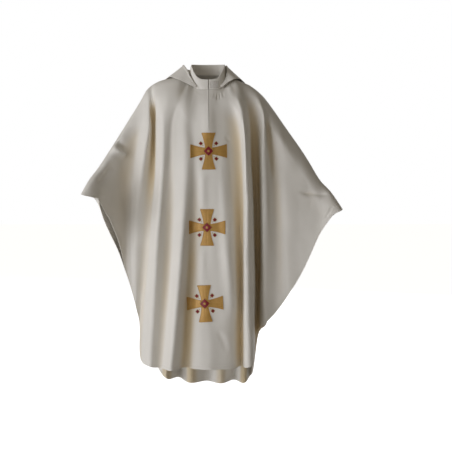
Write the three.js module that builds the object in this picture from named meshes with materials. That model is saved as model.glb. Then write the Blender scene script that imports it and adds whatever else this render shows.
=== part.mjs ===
// A full-cut chasuble as it is worn, arms held out and down: hollow, open at the neck, the sides and the hem.
// Millimetres, +Z up, the front faces -Y. The origin is the middle of the neck, at shoulder height.
import * as THREE from 'three';

// Driving dimensions
const panelThickness = 2;
const collarThickness = 3;
const hoodThickness = 3;
const seamGap = 0.5;
const slitLength = 170;
const slitWidth = 1.6;
const crossSize = 146;
const crossThickness = 1.4;
const lozengeThickness = 0.9;
const onPanelGap = 0.98;
const hoodBelly = 16;

// Neck seam and collar rim: flat-fronted ovals that rise from the throat to the nape
const neck = { halfWidth: 75, midY: 5, frontY: -85, backY: 62, throatZ: -41, napeZ: 25, flatY: 30 };
const rim = { shiftX: -3, halfWidth: 70, midY: -4, frontY: -79, backY: 72, throatZ: 0, napeZ: 72, rise: 30, sideDip: 5 };
const squareness = 2.4;
const rimSquareness = 3;
const collarBow = { left: 4, right: -1 };
const collarGap = 3;
const patch = { x: 22.5, z: -21, width: 38, height: 30, thickness: 1.2 };

// The ridge where front meets back: along each shoulder and down the arm to the wrist
const shoulderLine = [
  { x: -501, y: -245, z: -463 },
  { x: -475, y: -200, z: -408 },
  { x: -445, y: -150, z: -361 },
  { x: -403, y: -95, z: -288 },
  { x: -330, y: -35, z: -163 },
  { x: -286, y: -10, z: -88 },
  { x: -258, y: 0, z: -38 },
  { x: -222, y: 8, z: -3 },
  { x: -180, y: 12, z: 8 },
  { x: -130, y: 10, z: 14 },
  { x: -75, y: 5, z: 17 },
  { x: 75, y: 5, z: 17 },
  { x: 110, y: 10, z: 8 },
  { x: 140, y: 12, z: -6 },
  { x: 171, y: 10, z: -19 },
  { x: 223, y: 5, z: -61 },
  { x: 263, y: 0, z: -112 },
  { x: 330, y: -8, z: -208 },
  { x: 382, y: -15, z: -282 },
  { x: 417, y: -22, z: -337 },
  { x: 461, y: -38, z: -411 },
  { x: 506, y: -55, z: -461 },
  { x: 552, y: -70, z: -529 },
];

// How far the cloth stands out from that ridge over the chest, the back and the arms
const figure = [
  { x: 0, front: 58, back: 58, height: 150 },
  { x: 20, front: 58, back: 70, height: 146 },
  { x: 38, front: 60, back: 81, height: 141 },
  { x: 56, front: 68, back: 92, height: 136 },
  { x: 75, front: 112, back: 100, height: 130 },
  { x: 150, front: 118, back: 112, height: 115 },
  { x: 215, front: 92, back: 92, height: 105 },
  { x: 270, front: 64, back: 64, height: 100 },
  { x: 400, front: 52, back: 52, height: 95 },
  { x: 560, front: 46, back: 46, height: 90 },
];

// Levels down a panel, as shares of its length, at which a fold's place is given
const level = { yoke: 0.03, chest: 0.12, upper: 0.28, middle: 0.58, hem: 1 };

function table(columns, rows) {
  return rows.map((row) => Object.fromEntries(columns.map((key, i) => [key, row[i]])));
}

// Front folds, from the wrist at -X to the wrist at +X. Ridges stand out towards -Y.
// top is the x on the shoulder line or neck seam, the levels are [x, y] and the hem [x, y, z]. cuts is the
// number of strips up to the next row.
const frontFolds = table(['name', 'top', 'chest', 'upper', 'middle', 'hem', 'cuts'], [
  ['sleeve edge', -501, [-492, -288], [-482, -286], [-456, -292], [-429, -290, -477], 2],
  ['forearm', -470, [-460, -240], [-450, -240], [-430, -246], [-408, -244, -522], 2],
  ['elbow', -430, [-424, -184], [-417, -184], [-402, -188], [-383, -188, -592], 3],
  ['upper arm', -385, [-381, -129], [-377, -128], [-370, -134], [-361, -142, -672], 3],
  ['wing bowl', -340, [-346, -96], [-350, -90], [-346, -108], [-342, -122, -768], 2],
  ['wing bowl inner', -305, [-296, -76], [-306, -78], [-322, -108], [-319, -120, -850], 2],
  ['shoulder drop', -272, [-244, -92], [-259, -112], [-292, -122], [-298, -122, -930], 2],
  ['shoulder valley', -240, [-228, -60], [-231, -64], [-262, -126], [-284, -116, -1005], 2],
  ['left ridge flank', -220, [-208, -106], [-210, -118], [-238, -146], [-279, -134, -1118], 2],
  ['left ridge', -200, [-184, -134], [-184, -152], [-206, -178], [-238, -192, -1163], 4],
  ['left valley', -75, [-132, -132], [-148, -138], [-160, -142], [-194, -160, -1171], 3],
  ['breast ridge left', -66, [-94, -146], [-90, -169], [-108, -200], [-148, -238, -1171], 2],
  ['breast valley left', -45, [-64, -142], [-54, -158], [-66, -150], [-88, -158, -1171], 4],
  ['field left', -22, [-32, -142], [-28, -161], [-32, -167], [-46, -194, -1171], 3],
  ['centre front', 0, [1, -143], [2, -162], [0, -174], [-4, -212, -1172], 2],
  ['field right', 20, [30, -133], [34, -159], [38, -174], [38, -202, -1173], 4],
  ['breast ridge right', 38, [64, -120], [68, -153], [80, -171], [84, -174, -1175], 4],
  ['right valley', 56, [109, -101], [126, -118], [131, -106], [130, -112, -1171], 4],
  ['right ridge', 75, [131, -126], [150, -165], [153, -188], [157, -200, -1165], 2],
  ['right ridge flank', 100, [151, -106], [170, -126], [180, -130], [178, -142, -1150], 2],
  ['deep valley', 135, [168, -76], [187, -60], [203, -40], [194, -34, -1070], 2],
  ['deep valley wall', 165, [196, -72], [207, -60], [213, -42], [210, -50, -1030], 2],
  ['wing root ridge', 190, [226, -104], [232, -112], [238, -114], [240, -104, -1002], 2],
  ['wing root trough', 240, [246, -72], [262, -78], [278, -98], [280, -110, -950], 3],
  ['wing inner', 318, [314, -86], [318, -92], [324, -112], [330, -122, -876], 2],
  ['wing middle', 375, [372, -80], [372, -94], [374, -112], [379, -120, -795], 2],
  ['wing outer', 430, [427, -86], [424, -98], [421, -112], [418, -122, -712], 2],
  ['wing forearm', 480, [476, -98], [472, -102], [464, -112], [453, -122, -632], 2],
  ['wing wrist', 520, [516, -110], [512, -112], [501, -120], [482, -126, -585], 2],
  ['sleeve edge right', 552, [548, -118], [543, -120], [528, -126], [510, -128, -548], 0],
]);

// Back folds, in the same order. Ridges stand out towards +Y.
const backFolds = table(['name', 'top', 'chest', 'upper', 'middle', 'hem', 'cuts'], [
  ['sleeve edge', -501, [-496, -200], [-490, -200], [-468, -196], [-440, -200, -484], 2],
  ['forearm', -470, [-464, -146], [-458, -150], [-444, -160], [-424, -180, -556], 2],
  ['elbow', -430, [-427, -80], [-424, -82], [-414, -108], [-399, -138, -630], 3],
  ['upper arm', -385, [-384, -22], [-382, -22], [-378, -50], [-371, -84, -708], 3],
  ['wing bowl', -340, [-341, 16], [-342, 22], [-345, 2], [-346, -28, -802], 2],
  ['wing bowl inner', -305, [-304, 42], [-304, 48], [-318, 42], [-322, 24, -892], 2],
  ['wing root ridge', -272, [-266, 68], [-262, 78], [-286, 88], [-294, 76, -985], 2],
  ['side valley', -240, [-235, 40], [-230, 22], [-250, 16], [-258, 12, -1090], 2],
  ['left ridge flank', -220, [-216, 78], [-216, 72], [-236, 84], [-246, 90, -1175], 2],
  ['left ridge', -200, [-188, 112], [-196, 122], [-216, 144], [-228, 152, -1235], 4],
  ['left valley', -75, [-142, 104], [-156, 88], [-176, 84], [-184, 78, -1272], 3],
  ['blade ridge left', -66, [-98, 128], [-112, 140], [-128, 168], [-138, 186, -1288], 3],
  ['blade valley left', -40, [-50, 130], [-58, 118], [-76, 118], [-84, 110, -1297], 4],
  ['centre back', 0, [-2, 136], [-4, 138], [-8, 158], [-14, 176, -1302], 4],
  ['blade valley right', 40, [46, 130], [50, 116], [52, 120], [50, 112, -1300], 3],
  ['blade ridge right', 66, [94, 128], [106, 138], [110, 162], [106, 172, -1296], 3],
  ['right valley', 75, [130, 106], [148, 86], [154, 72], [148, 66, -1288], 2],
  ['right ridge', 100, [160, 112], [180, 118], [184, 126], [174, 128, -1272], 2],
  ['right ridge flank', 135, [186, 84], [204, 74], [205, 70], [190, 72, -1228], 2],
  ['side valley right', 165, [204, 50], [222, 22], [224, 12], [203, 18, -1068], 2],
  ['side valley wall', 190, [222, 58], [236, 40], [240, 40], [224, 36, -1022], 2],
  ['wing root right', 240, [246, 60], [262, 64], [266, 72], [254, 64, -980], 3],
  ['wing inner', 318, [317, 46], [316, 42], [316, 46], [314, 46, -900], 2],
  ['wing middle', 375, [374, 36], [372, 34], [368, 34], [364, 36, -812], 2],
  ['wing outer', 430, [428, 22], [426, 20], [420, 20], [409, 22, -724], 2],
  ['wing forearm', 480, [477, 4], [474, 2], [466, 2], [447, 4, -640], 2],
  ['wing wrist', 520, [517, -14], [514, -16], [502, -14], [478, -14, -592], 2],
  ['sleeve edge right', 552, [549, -25], [544, -26], [530, -26], [510, -28, -554], 0],
]);

// Small puckers of the front: soft ridges (out above 0) and creases (out below 0) between two [x, z] points
const puckers = table(['name', 'from', 'to', 'width', 'out'], [
  ['elbow ridge', [-405, -284], [-344, -322], 20, 15],
  ['above the elbow', [-372, -258], [-316, -312], 20, -10],
  ['below the elbow', [-370, -334], [-432, -410], 20, -10],
  ['forearm stretch', [505, -470], [366, -462], 12, -6],
]);

// Cowl hood round the collar, from the front corner at -X round the nape to the one at +X: the [x, y, z] of
// its seam, of the top of its roll and of its free edge
const hoodStations = table(['name', 'seam', 'roll', 'edge'], [
  ['left corner', [-50, -74, -34], [-51, -77, -27], [-54, -82, -34]],
  ['left front', [-71, -52, -20], [-76, -55, 12], [-90, -70, -15]],
  ['left shoulder front', [-80, -20, 6], [-92, -22, 46], [-128, -55, 3]],
  ['left peak', [-82, 10, 21], [-104, 12, 64], [-168, 4, 14]],
  ['left shoulder back', [-75, 39, 29], [-95, 57, 52], [-186, 92, -16]],
  ['left blade', [-51, 63, 31], [-57, 83, 45], [-130, 146, -148]],
  ['nape', [0, 70, 31], [0, 92, 43], [-4, 152, -236]],
  ['right blade', [51, 63, 31], [56, 83, 45], [122, 146, -148]],
  ['right shoulder back', [74, 38, 29], [77, 49, 52], [162, 94, -36]],
  ['right shoulder', [79, 10, 21], [73, 9, 60], [136, 6, 3]],
  ['right shoulder front', [78, -20, 5], [76, -26, 36], [110, -54, 4]],
  ['right front', [68, -50, -20], [71, -54, 4], [80, -68, -12]],
  ['right corner', [50, -74, -34], [51, -77, -27], [54, -82, -34]],
]);

// Embroidered crosses down the front, by the height of their middles
const crosses = [
  { name: 'upper', x: 1, z: -293 },
  { name: 'middle', x: -5, z: -600 },
  { name: 'lower', x: -14, z: -907 },
];

// Rows of the meshes. Those of the panels are closer together at the top.
const fineness = { front: 21, back: 15, crowding: 1.5, collarStations: 44, collarRows: 4, hoodRows: 9 };

const material = (color, roughness) => new THREE.MeshStandardMaterial({ color, roughness, metalness: 0 });
const cream = material(0xe6e1d8, 0.75);
const gold = material(0xb98a3c, 0.45);
const crimson = material(0x7a1020, 0.6);

const clamp01 = (t) => Math.min(1, Math.max(0, t));
const smooth = (t) => clamp01(t) ** 2 * (3 - 2 * clamp01(t));
const lerp = (a, b, t) => a + (b - a) * t;

// Cubic through values at rising knots
function cubic(knots, values, at) {
  const last = knots.length - 1;
  const slope = (i) => {
    const a = Math.max(0, i - 1);
    const b = Math.min(last, i + 1);
    return (values[b] - values[a]) / (knots[b] - knots[a]);
  };
  const x = Math.min(knots[last], Math.max(knots[0], at));
  let i = 0;
  while (i < last - 1 && x > knots[i + 1]) i += 1;
  const span = knots[i + 1] - knots[i];
  const t = (x - knots[i]) / span;
  const a = values[i];
  const b = values[i + 1];
  const bend = (1 - t) * t;
  return lerp(a, b, t * t * (3 - 2 * t)) + span * bend * ((1 - t) * slope(i) - t * slope(i + 1));
}

// Cubic through one named column of a table, at a fractional row number
function column(rows, field, part, at) {
  return cubic(rows.map((row, i) => i), rows.map((row) => row[field][part]), at);
}

function seamHeight(y) {
  return lerp(neck.throatZ, neck.napeZ, smooth((y - neck.frontY) / (neck.flatY - neck.frontY)));
}

// Angle round the neck seam, 0 at its middle, at which the seam is at a given x, and the way back
function neckAngle(x) {
  return Math.sign(x) * Math.asin(Math.abs(x / neck.halfWidth) ** (squareness / 2));
}

function neckX(angle) {
  return Math.sign(angle) * neck.halfWidth * Math.abs(Math.sin(angle)) ** (2 / squareness);
}

// Depth of an oval of the neck's kind at an angle, towards the front (side -1) or the back (side 1)
function ovalY(oval, angle, side, power = squareness) {
  const reach = (side < 0 ? oval.frontY : oval.backY) - oval.midY;
  return oval.midY + reach * Math.abs(Math.cos(angle)) ** (2 / power);
}

// Top edge of the front or back panel between two of its folds: the neck seam, then the shoulder line
function topEdge(fromX, toX, share, side) {
  const gap = (side * seamGap) / 2;
  if (Math.max(Math.abs(fromX), Math.abs(toX)) <= neck.halfWidth) {
    const angle = lerp(neckAngle(fromX), neckAngle(toX), share);
    const y = ovalY(neck, angle, side);
    return new THREE.Vector3(neckX(angle), y + gap, seamHeight(y));
  }
  const x = lerp(fromX, toX, share);
  const half = shoulderLine.filter((row) => row.x * x > 0);
  const knots = half.map((row) => row.x);
  const y = cubic(knots, half.map((row) => row.y), x);
  const z = cubic(knots, half.map((row) => row.z), x);
  return new THREE.Vector3(x, y + gap, z);
}

function puckerAt(x, z) {
  return puckers.reduce((sum, { from, to, width, out }) => {
    const dx = to[0] - from[0];
    const dz = to[1] - from[1];
    const along = ((x - from[0]) * dx + (z - from[1]) * dz) / (dx * dx + dz * dz);
    const near = clamp01(along);
    const off = Math.hypot(x - from[0] - near * dx, z - from[1] - near * dz) / width;
    return sum + out * Math.exp(-off * off);
  }, 0);
}

// Point on a panel: along is a fractional fold number, down runs from 0 at the top to 1 at the hem
function drape(folds, side, along, down) {
  const row = Math.min(folds.length - 2, Math.floor(along));
  const top = topEdge(folds[row].top, folds[row + 1].top, along - row, side);
  const reach = Math.abs(top.x);
  const knots = figure.map((entry) => entry.x);
  const stand = cubic(knots, figure.map((entry) => (side < 0 ? entry.front : entry.back)), reach);
  const height = cubic(knots, figure.map((entry) => entry.height), reach);
  const fields = ['chest', 'upper', 'middle', 'hem'];
  const levels = fields.map((field) => level[field]);
  const xs = fields.map((field) => column(folds, field, 0, along));
  const ys = fields.map((field) => column(folds, field, 1, along));
  const x = cubic([0, ...levels], [top.x, ...xs], down);
  const hang = cubic([level.yoke, ...levels], [top.y + side * stand, ...ys], down);
  const z = lerp(top.z, column(folds, 'hem', 2, along), down);
  const turn = clamp01(Math.max((top.z - z) / height, down / 0.4));
  const softness = lerp(1, 0.5, smooth((reach - 55) / 55));
  const round = (1 - (1 - turn) ** 2) ** softness;
  const pucker = side < 0 ? puckerAt(x, z) * round : 0;
  return new THREE.Vector3(x, lerp(top.y, hang, round) - pucker, z);
}

function halves(quads) {
  return quads.flatMap(([a, b, c, d]) => [[a, b, c], [a, c, d]]);
}

function moved(points, quads, distance, flat = [], axis = 'y') {
  const normals = points.map(() => new THREE.Vector3());
  for (const [a, b, c] of halves(quads)) {
    const ab = points[b].clone().sub(points[a]);
    const normal = ab.cross(points[c].clone().sub(points[a]));
    for (const i of [a, b, c]) normals[i].add(normal);
  }
  for (const i of flat) normals[i][axis] = 0;
  return points.map((p, i) => p.clone().addScaledVector(normals[i].normalize(), distance));
}

// Closed wall from its outer points and quads, its thickness going in. Points listed in flat keep their inner
// partner in the plane of the seam, whose axis is given.
function wall(points, quads, thickness, flat = [], axis = 'y') {
  const triangles = halves(quads);
  const inner = moved(points, quads, -thickness, flat, axis);
  const count = points.length;
  const faces = [...triangles, ...triangles.map(([a, b, c]) => [a + count, c + count, b + count])];
  const edges = new Set(quads.flatMap((quad) => quad.map((a, i) => `${a},${quad[(i + 1) % 4]}`)));
  for (const edge of edges) {
    const [a, b] = edge.split(',').map(Number);
    if (!edges.has(`${b},${a}`)) faces.push([b, a, a + count], [b, a + count, b + count]);
  }
  const geometry = new THREE.BufferGeometry();
  const coordinates = [...points, ...inner].flatMap((p) => p.toArray());
  geometry.setAttribute('position', new THREE.Float32BufferAttribute(coordinates, 3));
  geometry.setIndex(faces.flat());
  geometry.computeVertexNormals();
  return geometry;
}

// Points and quads of grid[row][col]
function sheet(grid, flip) {
  const points = [];
  const index = grid.map((line) => line.map((p) => points.push(p) - 1));
  const quads = [];
  for (let r = 0; r < grid.length - 1; r += 1) {
    for (let c = 0; c < grid[0].length - 1; c += 1) {
      const quad = [index[r][c], index[r + 1][c], index[r + 1][c + 1], index[r][c + 1]];
      quads.push(flip ? quad.reverse() : quad);
    }
  }
  return { points, quads, index };
}

function named(name, geometry, finish) {
  const mesh = new THREE.Mesh(geometry, finish);
  mesh.name = name;
  return mesh;
}

function panelGrid(folds, side, rowCount) {
  const along = folds.flatMap(({ cuts }, i) => Array.from({ length: cuts }, (_, k) => i + k / cuts));
  along.push(folds.length - 1);
  return Array.from({ length: rowCount + 1 }, (_, r) => {
    const down = (r / rowCount) ** fineness.crowding;
    return along.map((at) => drape(folds, side, at, down));
  });
}

// The front is one cloth with a slit at the throat, whose two lips are drawn slightly apart
function frontPanel() {
  const grid = panelGrid(frontFolds, -1, fineness.front);
  const { points, quads, index } = sheet(grid, false);
  const centre = grid[0].findIndex((p) => Math.abs(p.x) < 0.01);
  const slitRows = grid.findIndex((line) => line[centre].z < neck.throatZ - slitLength);
  for (let r = 0; r < slitRows; r += 1) {
    const left = index[r][centre];
    const half = (slitWidth / 2) * clamp01((slitRows - r) / 2);
    const right = points.push(points[left].clone().add(new THREE.Vector3(half, 0, 0))) - 1;
    points[left].x -= half;
    for (const quad of quads) {
      const onRight = quad.some((i) => i === index[r][centre + 1]);
      const at = quad.indexOf(left);
      if (onRight && at >= 0) quad[at] = right;
      const lower = quad.some((i) => r > 0 && i === index[r - 1][centre + 1]);
      if (lower && at >= 0) quad[at] = right;
    }
  }
  return named('front_panel', wall(points, quads, panelThickness, index[0]), cream);
}

function backPanel() {
  const { points, quads, index } = sheet(panelGrid(backFolds, 1, fineness.back), true);
  return named('back_panel', wall(points, quads, panelThickness, index[0]), cream);
}

// Standing band collar, open at the throat
function collar() {
  const { collarStations, collarRows } = fineness;
  const open = neckAngle(collarGap / 2);
  const grid = Array.from({ length: collarRows + 1 }, (_, r) => {
    const up = r / collarRows;
    return Array.from({ length: collarStations + 1 }, (__, s) => {
      const turn = lerp(open, 2 * Math.PI - open, s / collarStations);
      const side = Math.cos(turn) > 0 ? -1 : 1;
      const share = neckX(Math.asin(Math.sin(turn))) / neck.halfWidth;
      const lowY = ovalY(neck, turn, side);
      const low = new THREE.Vector3(share * neck.halfWidth, lowY, seamHeight(lowY) + seamGap);
      const rimY = ovalY(rim, turn, side, rimSquareness);
      const climb = 1 - Math.exp(-(((rimY - rim.frontY) / rim.rise) ** 1.5));
      const rimX = rim.shiftX * smooth(Math.abs(share)) + share * rim.halfWidth;
      const dip = rim.sideDip * Math.exp(-(((rimY - rim.midY) / 34) ** 2));
      const high = new THREE.Vector3(rimX, rimY, lerp(rim.throatZ, rim.napeZ, climb) - dip);
      const outward = new THREE.Vector3(Math.sin(turn), -Math.cos(turn), 0);
      const bow = lerp(collarBow.right, collarBow.left, smooth(-share));
      return low.lerp(high, up).addScaledVector(outward, bow * Math.sin(Math.PI * up));
    });
  });
  const { points, quads, index } = sheet(grid, true);
  return named('collar', wall(points, quads, collarThickness, index[0], 'z'), cream);
}

// Cowl hood: rises outside the collar, rolls over and lies on the shoulders
function hood() {
  const perStation = 3;
  const rollAt = 0.3;
  const count = (hoodStations.length - 1) * perStation;
  const grid = Array.from({ length: fineness.hoodRows + 1 }, (_, r) => {
    const out = r / fineness.hoodRows;
    return Array.from({ length: count + 1 }, (__, s) => {
      const point = new THREE.Vector3(...[0, 1, 2].map((axis) => {
        const [seam, roll, edge] = ['seam', 'roll', 'edge'].map((field) => {
          return column(hoodStations, field, axis, s / perStation);
        });
        return cubic([0, rollAt, rollAt * 1.6, 1], [seam, roll, lerp(roll, edge, 0.16), edge], out);
      }));
      const belly = hoodBelly * smooth(point.y / 100) * Math.sin(Math.PI * clamp01((out - rollAt) / 0.7));
      return point.add(new THREE.Vector3(0, belly, 0));
    });
  });
  const { points, quads } = sheet(grid, false);
  return named('hood', wall(points, quads, hoodThickness), cream);
}

// Flat grids of [across, up] points laid on a mesh: each point is found on the cloth and moved out
function laidOn(mesh, grids, place, thickness) {
  const ray = new THREE.Raycaster();
  const points = [];
  const seen = new Map();
  const find = ([across, up]) => {
    const key = `${across.toFixed(2)},${up.toFixed(2)}`;
    if (!seen.has(key)) {
      ray.set(new THREE.Vector3(place.x + across, -1000, place.z + up), new THREE.Vector3(0, 1, 0));
      const [hit] = ray.intersectObject(mesh);
      seen.set(key, points.push(hit.point) - 1);
    }
    return seen.get(key);
  };
  const quads = grids.flatMap((grid) => {
    const index = grid.map((line) => line.map(find));
    const cells = [];
    for (let r = 0; r < grid.length - 1; r += 1) {
      for (let c = 0; c < grid[0].length - 1; c += 1) {
        cells.push([index[r][c], index[r + 1][c], index[r + 1][c + 1], index[r][c + 1]]);
      }
    }
    return cells;
  });
  return wall(moved(points, quads, onPanelGap + thickness), quads, thickness);
}

// Cross with four flared arms round a square
function crossGrids() {
  const steps = 4;
  const half = crossSize * 0.09;
  const flare = crossSize * 0.095;
  const reach = crossSize / 2;
  const shares = Array.from({ length: steps + 1 }, (_, i) => -1 + (2 * i) / steps);
  const middle = shares.map((v) => shares.map((u) => [u * half, -v * half]));
  const arm = Array.from({ length: 9 }, (_, i) => {
    const t = 1 - i / 8;
    const width = half + flare * t ** 1.4;
    return shares.map((u) => [u * width, lerp(half, reach, t)]);
  });
  const turned = [0, 1, 2, 3].map((quarter) => arm.map((line) => line.map(([x, y]) => {
    return [[x, y], [-y, x], [-x, -y], [y, -x]][quarter];
  })));
  return [middle, ...turned];
}

function patchGrid() {
  const steps = [0, 1, 2, 3, 4, 5, 6];
  const across = steps.map((i) => lerp(-patch.width / 2, patch.width / 2, i / 6));
  return steps.map((i) => across.map((x) => [x, lerp(patch.height / 2, -patch.height / 2, i / 6)]));
}

function lozengeGrid() {
  const steps = 4;
  const half = crossSize * 0.085;
  const shares = Array.from({ length: steps + 1 }, (_, i) => -1 + (2 * i) / steps);
  return shares.map((v) => shares.map((u) => [((u - v) * half) / 1.25, ((-u - v) * half) / 1.25]));
}

const part = new THREE.Group();
const front = frontPanel();
const band = collar();
part.add(front, backPanel(), band, hood());
part.add(named('closure_patch', laidOn(band, [patchGrid()], patch, patch.thickness), cream));
for (const place of crosses) {
  const cross = named(`cross_${place.name}`, laidOn(front, crossGrids(), place, crossThickness), gold);
  const lozenge = laidOn(cross, [lozengeGrid()], place, lozengeThickness);
  part.add(cross, named(`lozenge_${place.name}`, lozenge, crimson));
}

export default part;
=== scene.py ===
import math
import bmesh
import bpy
import numpy as np
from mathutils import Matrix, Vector
from mathutils.bvhtree import BVHTree


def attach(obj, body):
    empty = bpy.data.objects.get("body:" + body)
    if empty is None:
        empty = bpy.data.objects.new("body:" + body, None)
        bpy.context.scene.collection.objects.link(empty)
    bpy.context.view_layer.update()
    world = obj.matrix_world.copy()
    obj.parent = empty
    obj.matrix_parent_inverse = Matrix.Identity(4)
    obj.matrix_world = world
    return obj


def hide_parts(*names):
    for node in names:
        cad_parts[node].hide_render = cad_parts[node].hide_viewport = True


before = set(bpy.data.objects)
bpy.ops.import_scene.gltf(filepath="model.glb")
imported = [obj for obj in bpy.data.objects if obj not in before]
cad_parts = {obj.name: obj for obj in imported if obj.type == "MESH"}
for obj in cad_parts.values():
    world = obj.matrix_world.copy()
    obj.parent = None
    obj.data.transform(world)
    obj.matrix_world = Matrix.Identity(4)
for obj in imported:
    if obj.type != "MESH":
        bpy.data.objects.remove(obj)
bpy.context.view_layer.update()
mm = 0.001                                       # the tables below are in millimetres
print("frame loaded with", len(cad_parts), "nodes")

# The camera stands in front of the garment at chest height and looks slightly down
cameraView = {
    "place": (0.0714, -4.2, -0.330),
    "tiltDown": 3.75,
    "lens": 79.8,
    "sensor": 36,
}
bpy.ops.object.select_all(action="DESELECT")
bpy.ops.object.camera_add(location=cameraView["place"],
                          rotation=(math.radians(90 - cameraView["tiltDown"]), 0, 0))
studioCamera = bpy.context.object
studioCamera.name = "studio_camera"
studioCamera.data.lens = cameraView["lens"]
studioCamera.data.sensor_width = cameraView["sensor"]
bpy.context.scene.camera = studioCamera


# Curves and small sums
def clamp01(t):
    return np.clip(t, 0, 1)


def smooth(t):
    return clamp01(t) ** 2 * (3 - 2 * clamp01(t))


def lerp(a, b, t):
    return a + (b - a) * t


def cubicAt(knots, values, at):
    # Smooth curve through values at rising knots. values is one column, or one column for each entry of at.
    knots = np.asarray(knots, float)
    values = np.asarray(values, float)
    at = np.clip(at, knots[0], knots[-1])
    last = len(knots) - 1
    i = np.clip(np.searchsorted(knots, at, side="right") - 1, 0, last - 1)
    each = np.arange(values.shape[-1]) if values.ndim == 2 else None

    def pick(k):
        return values[k] if each is None else values[k, each]

    def slope(k):
        a = np.maximum(k - 1, 0)
        b = np.minimum(k + 1, last)
        return (pick(b) - pick(a)) / (knots[b] - knots[a])

    span = knots[i + 1] - knots[i]
    t = (at - knots[i]) / span
    bend = (1 - t) * t
    tilt = (1 - t) * slope(i) - t * slope(i + 1)
    return lerp(pick(i), pick(i + 1), t * t * (3 - 2 * t)) + span * bend * tilt


def column(rows, field, axis, at):
    return cubicAt(np.arange(len(rows)), [row[field][axis] for row in rows], at)


def travelled(points, axis=0):
    # Distance walked along an axis of a grid of points, from its start
    steps = np.linalg.norm(np.diff(points, axis=axis), axis=-1)
    start = np.zeros_like(np.take(steps, [0], axis=axis))
    return np.cumsum(np.concatenate([start, steps], axis=axis), axis=axis)


def fromLastRow(points):
    # Distance walked up each column of a grid of points, from its last row
    return travelled(points[::-1])[::-1]


def unit(vectors):
    return vectors / np.maximum(np.linalg.norm(vectors, axis=-1, keepdims=True), 1e-9)


def gridNormals(points):
    # Rows run down and columns run towards +X, so on a front the normals point to -Y
    return unit(np.cross(np.gradient(points, axis=0), np.gradient(points, axis=1)))


# Neck seam and the shoulder line where front and back are joined, out to the wrists
neckSeam = {"halfWidth": 75, "midY": 5, "frontY": -85, "backY": 62, "throatZ": -41, "napeZ": 25, "flatY": 30}
neckPower = 2.4
seamGap = 0.5
shoulderLine = [
    (-501, -245, -463),
    (-475, -200, -408),
    (-445, -150, -361),
    (-403, -95, -288),
    (-330, -35, -163),
    (-286, -10, -88),
    (-258, 0, -38),
    (-222, 8, -9),
    (-180, 12, 7),
    (-130, 10, 14),
    (-75, 5, 17),
    (75, 5, 17),
    (110, 10, 8),
    (140, 12, -6),
    (171, 10, -19),
    (223, 5, -61),
    (263, 0, -112),
    (330, -8, -208),
    (382, -15, -282),
    (417, -22, -337),
    (461, -38, -411),
    (506, -55, -461),
    (552, -70, -529),
]
# How far the cloth stands out from that line.
# A row is the distance from the middle, the front, the back and the height of the round part.
standOut = [
    (0, 58, 58, 150),
    (20, 58, 70, 146),
    (38, 63, 81, 141),
    (56, 84, 92, 136),
    (66, 100, 96, 133),
    (75, 108, 100, 124),
    (150, 112, 112, 110),
    (215, 90, 92, 105),
    (270, 64, 64, 100),
    (400, 52, 52, 95),
    (560, 46, 46, 90),
]
# On the +X side the front of the shoulder falls back under the hood
shoulderHollow = {"x": 155, "width": 50, "depth": 30}
# The cloth turns from the shoulder into its hang at the latest within a share of its length. Beside the neck
# the turn is a parabola, further out it is a quarter circle.
shoulderTurn = {"within": 0.4, "roundFrom": 55, "roundOver": 55, "power": 0.5}
# Chest, upper, middle and hem as shares of a panel's length, and where a fold's row holds their values
foldLevels = [0.12, 0.28, 0.58, 1]
levelFields = [2, 3, 4, 5]
yokeLevel = 0.03


def seamHeight(y):
    return lerp(neckSeam["throatZ"], neckSeam["napeZ"],
                smooth((y - neckSeam["frontY"]) / (neckSeam["flatY"] - neckSeam["frontY"])))


def neckAngle(x):
    return np.sign(x) * np.arcsin(clamp01(np.abs(x / neckSeam["halfWidth"])) ** (neckPower / 2))


def neckX(angle):
    return np.sign(angle) * neckSeam["halfWidth"] * np.abs(np.sin(angle)) ** (2 / neckPower)


def ovalY(oval, angle, side, power=neckPower):
    reach = np.where(np.asarray(side) < 0, oval["frontY"], oval["backY"]) - oval["midY"]
    return oval["midY"] + reach * np.abs(np.cos(angle)) ** (2 / power)


def topEdge(tops, along, side):
    row = np.minimum(np.floor(along).astype(int), len(tops) - 2)
    share = along - row
    start, end = tops[row], tops[row + 1]
    onNeck = np.maximum(np.abs(start), np.abs(end)) <= neckSeam["halfWidth"]
    angle = lerp(neckAngle(start), neckAngle(end), share)
    neckY = ovalY(neckSeam, angle, side)
    x = lerp(start, end, share)
    halves = [np.array([p for p in shoulderLine if p[0] * way > 0], float) for way in (-1, 1)]
    y, z = [np.where(x < 0, *[cubicAt(half[:, 0], half[:, axis], x) for half in halves]) for axis in (1, 2)]
    gap = side * seamGap / 2
    return np.where(onNeck, [neckX(angle), neckY + gap, seamHeight(neckY)], [x, y + gap, z])


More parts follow.
